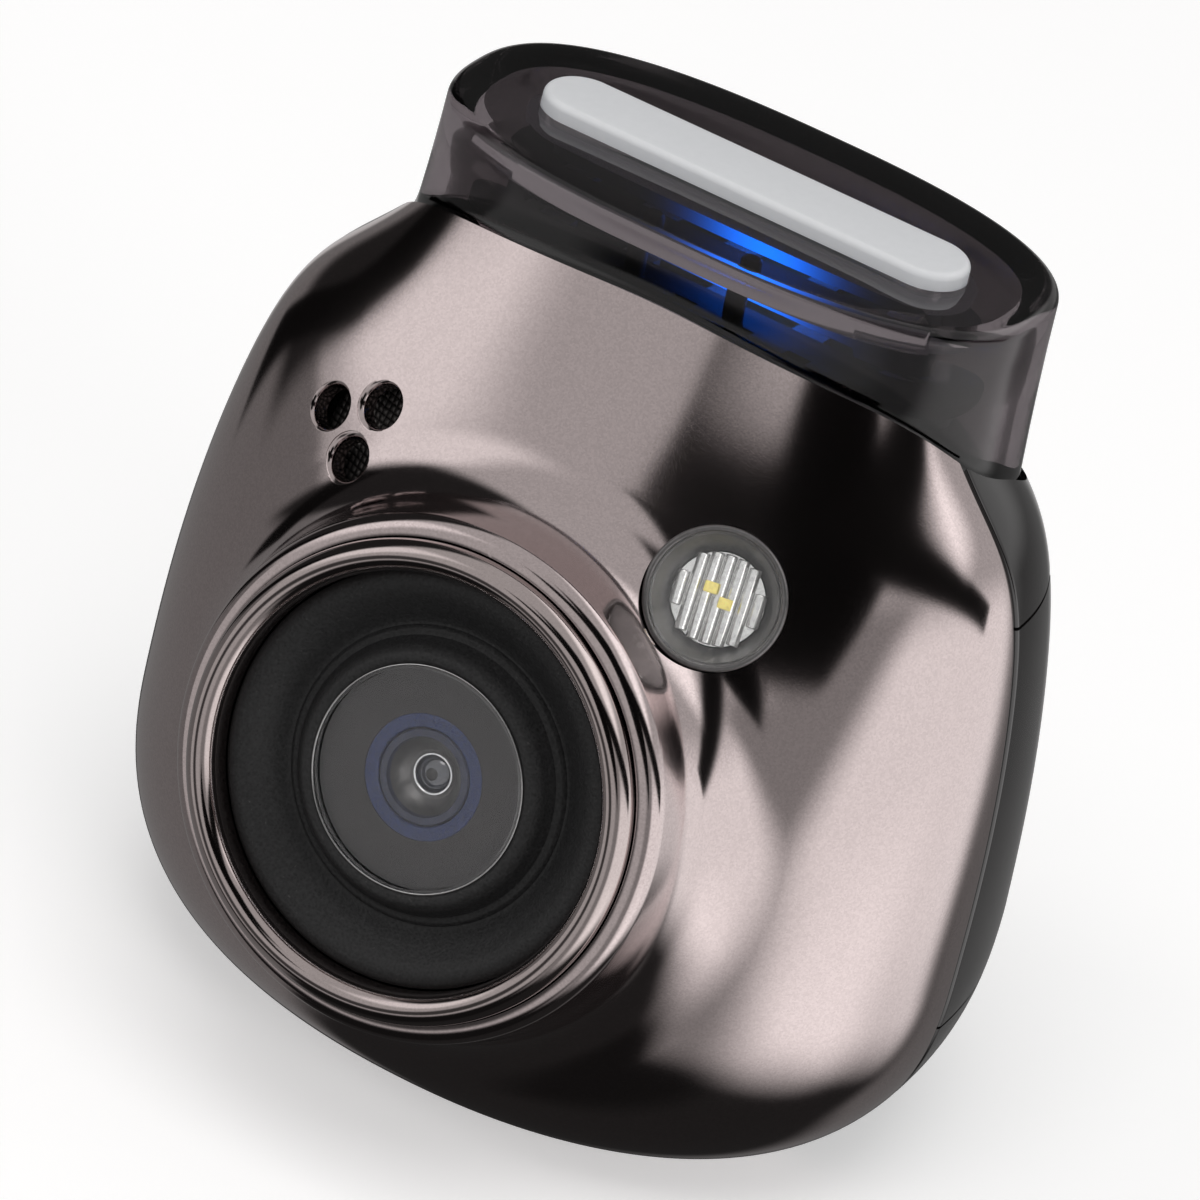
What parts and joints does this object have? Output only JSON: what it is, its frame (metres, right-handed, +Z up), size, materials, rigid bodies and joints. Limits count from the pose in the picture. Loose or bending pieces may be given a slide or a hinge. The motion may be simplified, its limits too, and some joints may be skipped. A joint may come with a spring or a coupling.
{
  "type": "instant camera",
  "caption": "Palm-sized camera with a bell-shaped painted front, round lens, round flash, speaker holes, smoky oval crown with a light bar, and a black back.",
  "frame": {"origin": "mouth of the threaded tripod hole, in the flat base and in the parting plane between the front and rear shells", "axes": "+Z up, +X to the right as seen from the front, -Y the way the lens faces"},
  "size_m": [0.0426, 0.0419, 0.0444],
  "materials": {
    "front_paint": "gunmetal metallic paint, mirror-like, with fine flake",
    "rear_gloss": "piano-black gloss plastic",
    "inner_black": "matte black moulded plastic",
    "brass": "turned brass",
    "steel": "plated steel",
    "smoky_cover": "smoky transparent plastic",
    "light_diffuser": "satin milky white diffuser",
    "light_guide": "clear guide lit from below",
    "circuit_board": "solder-masked board",
    "led_body": "moulded LED package",
    "bezel_metal": "dark chrome ring",
    "lens_rubber": "matte fine-grained rubber",
    "cover_glass": "flat coated cover glass",
    "lens_mask": "dark printed mask",
    "lens_trim": "dark blue trim ring",
    "lens_glass": "coated lens",
    "flash_rim": "dark gloss rim",
    "flash_window": "clear window",
    "flash_reflector": "ribbed diffuser",
    "led_die": "yellow phosphor",
    "speaker_mesh": "woven metal mesh",
    "battery_foil": "foil pouch",
    "button_gloss": "gloss black plastic",
    "switch_rubber": "silicone dome",
    "switch_body": "moulded switch"
  },
  "bodies": {
    "body": {"front_shell": "front_paint", "rear_shell": "rear_gloss", "base_plate": "inner_black", "tripod_insert": "brass", "chassis": "inner_black", "chassis_screws": "steel", "rear_screws": "steel", "crown_cover": "smoky_cover", "crown_bracket": "inner_black", "light_bar": "light_diffuser", "light_guide": "light_guide", "light_board": "circuit_board", "light_leds": "led_body", "lens_bezel": "bezel_metal", "lens_rubber_ring": "lens_rubber", "lens_seat": "inner_black", "cover_glass": "cover_glass", "lens_mask": "lens_mask", "lens_trim_ring": "lens_trim", "lens_barrel": "inner_black", "front_lens": "lens_glass", "rear_lens": "lens_glass", "lens_holder": "inner_black", "image_sensor": "circuit_board", "flash_rim": "flash_rim", "flash_window": "flash_window", "flash_reflector": "flash_reflector", "flash_leds": "led_die", "flash_board": "circuit_board", "speaker": "inner_black", "speaker_mesh": "speaker_mesh", "microphone": "steel", "main_board": "circuit_board", "battery": "battery_foil", "shutter_dome": "switch_rubber", "button_switches": "switch_body", "mode_switch": "switch_body", "hinge_pin": "steel", "port_bay": "inner_black", "usb_socket": "steel", "card_socket": "steel"},
    "shutter": {"shutter_button": "button_gloss"},
    "power": {"power_button": "button_gloss"},
    "function": {"function_button": "button_gloss"},
    "mode": {"mode_slider": "button_gloss"},
    "door": {"port_door": "rear_gloss"}
  },
  "joints": [
    {"name": "shutter_press", "type": "slide", "parent": "body", "child": "shutter", "axis": [0, -0.9613, -0.2756], "range_m": [0, 0.0008], "stiffness_N_per_m": 800},
    {"name": "power_press", "type": "slide", "parent": "body", "child": "power", "axis": [0.9659, -0.2588, 0], "range_m": [0, 0.0004], "stiffness_N_per_m": 800},
    {"name": "function_press", "type": "slide", "parent": "body", "child": "function", "axis": [0.9659, -0.2588, 0], "range_m": [0, 0.0004], "stiffness_N_per_m": 800},
    {"name": "mode_slide", "type": "slide", "parent": "body", "child": "mode", "axis": [0, 0, 1], "range_m": [0, 0.003]},
    {"name": "door_swing", "type": "hinge", "parent": "body", "child": "door", "pos_m": [0.02021, -0.00013, 0.01075], "axis": [-0.1564, 0.9877, 0], "range_deg": [0, 90]}
  ]
}
